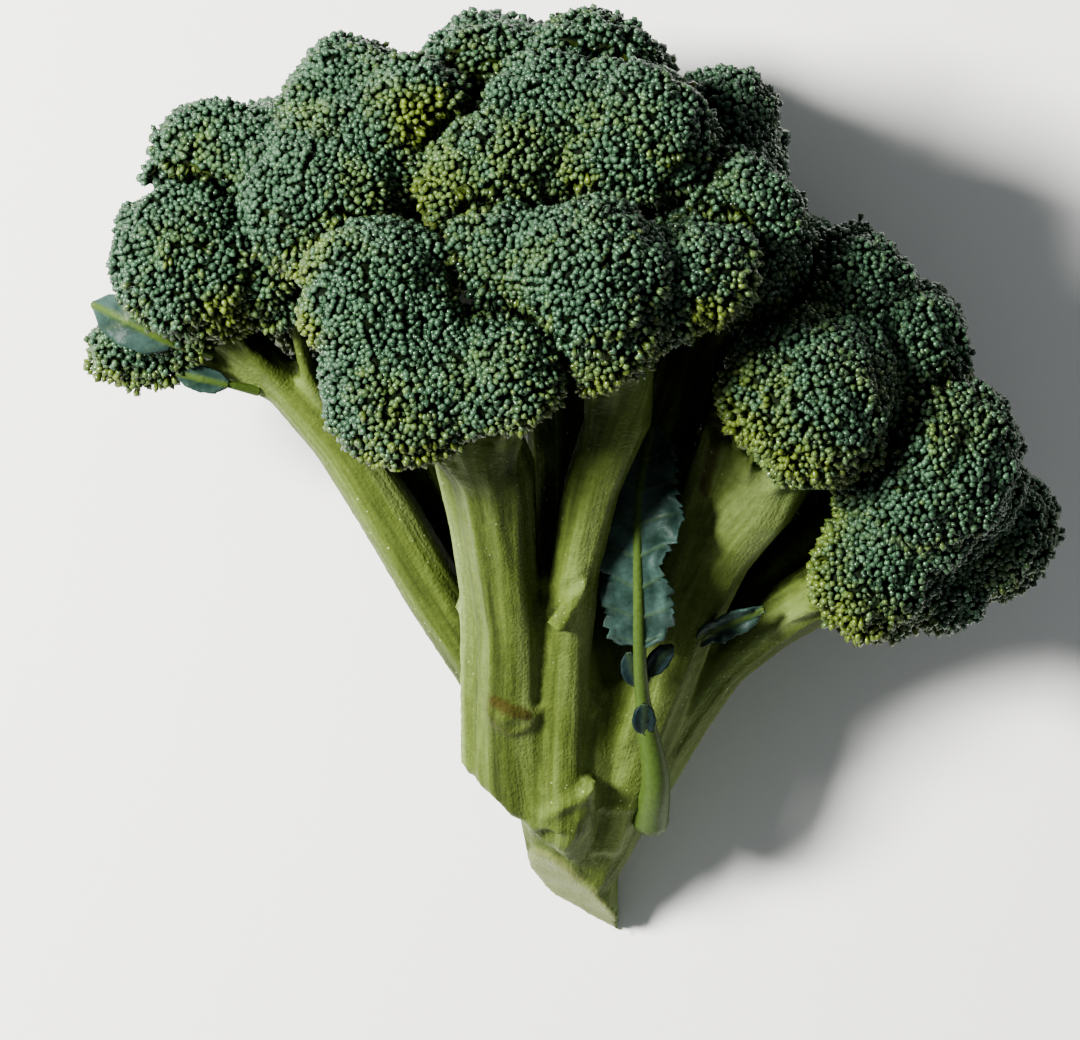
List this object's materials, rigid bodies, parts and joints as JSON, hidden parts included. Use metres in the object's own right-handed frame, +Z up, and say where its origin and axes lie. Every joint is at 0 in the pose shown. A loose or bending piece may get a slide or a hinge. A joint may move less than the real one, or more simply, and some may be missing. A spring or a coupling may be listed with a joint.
{
  "type": "broccoli head",
  "caption": "Large head of broccoli lying on its side: a forked stalk cut on a slant, crowded florets of buds and small leaves.",
  "frame": {"origin": "under the middle of the head's bounding box, on the surface that the head lies on", "axes": "+X to the head's right across the crown, +Y from the cut stalk towards the crown, +Z up"},
  "size_m": [0.2198, 0.2086, 0.152],
  "materials": {
    "stalk_skin": "smooth waxy plant skin, paler and moist on the cut",
    "buds": "matt blue-green flower buds with a waxy bloom",
    "leaf_green": "smooth dark green leaf with a waxy bloom"
  },
  "bodies": {
    "root": {"stalk": "stalk_skin", "floret_front_left": "buds", "floret_front_right": "buds", "floret_middle": "buds", "floret_left": "buds", "floret_upper_left": "buds", "floret_top": "buds", "floret_upper_right": "buds", "floret_right": "buds", "floret_right_low": "buds", "floret_back_left": "buds", "floret_back_top": "buds", "floret_back_right": "buds", "leaf_front": "leaf_green", "leaf_right": "leaf_green", "leaf_left": "leaf_green", "leaf_left_small": "leaf_green"}
  },
  "joints": []
}
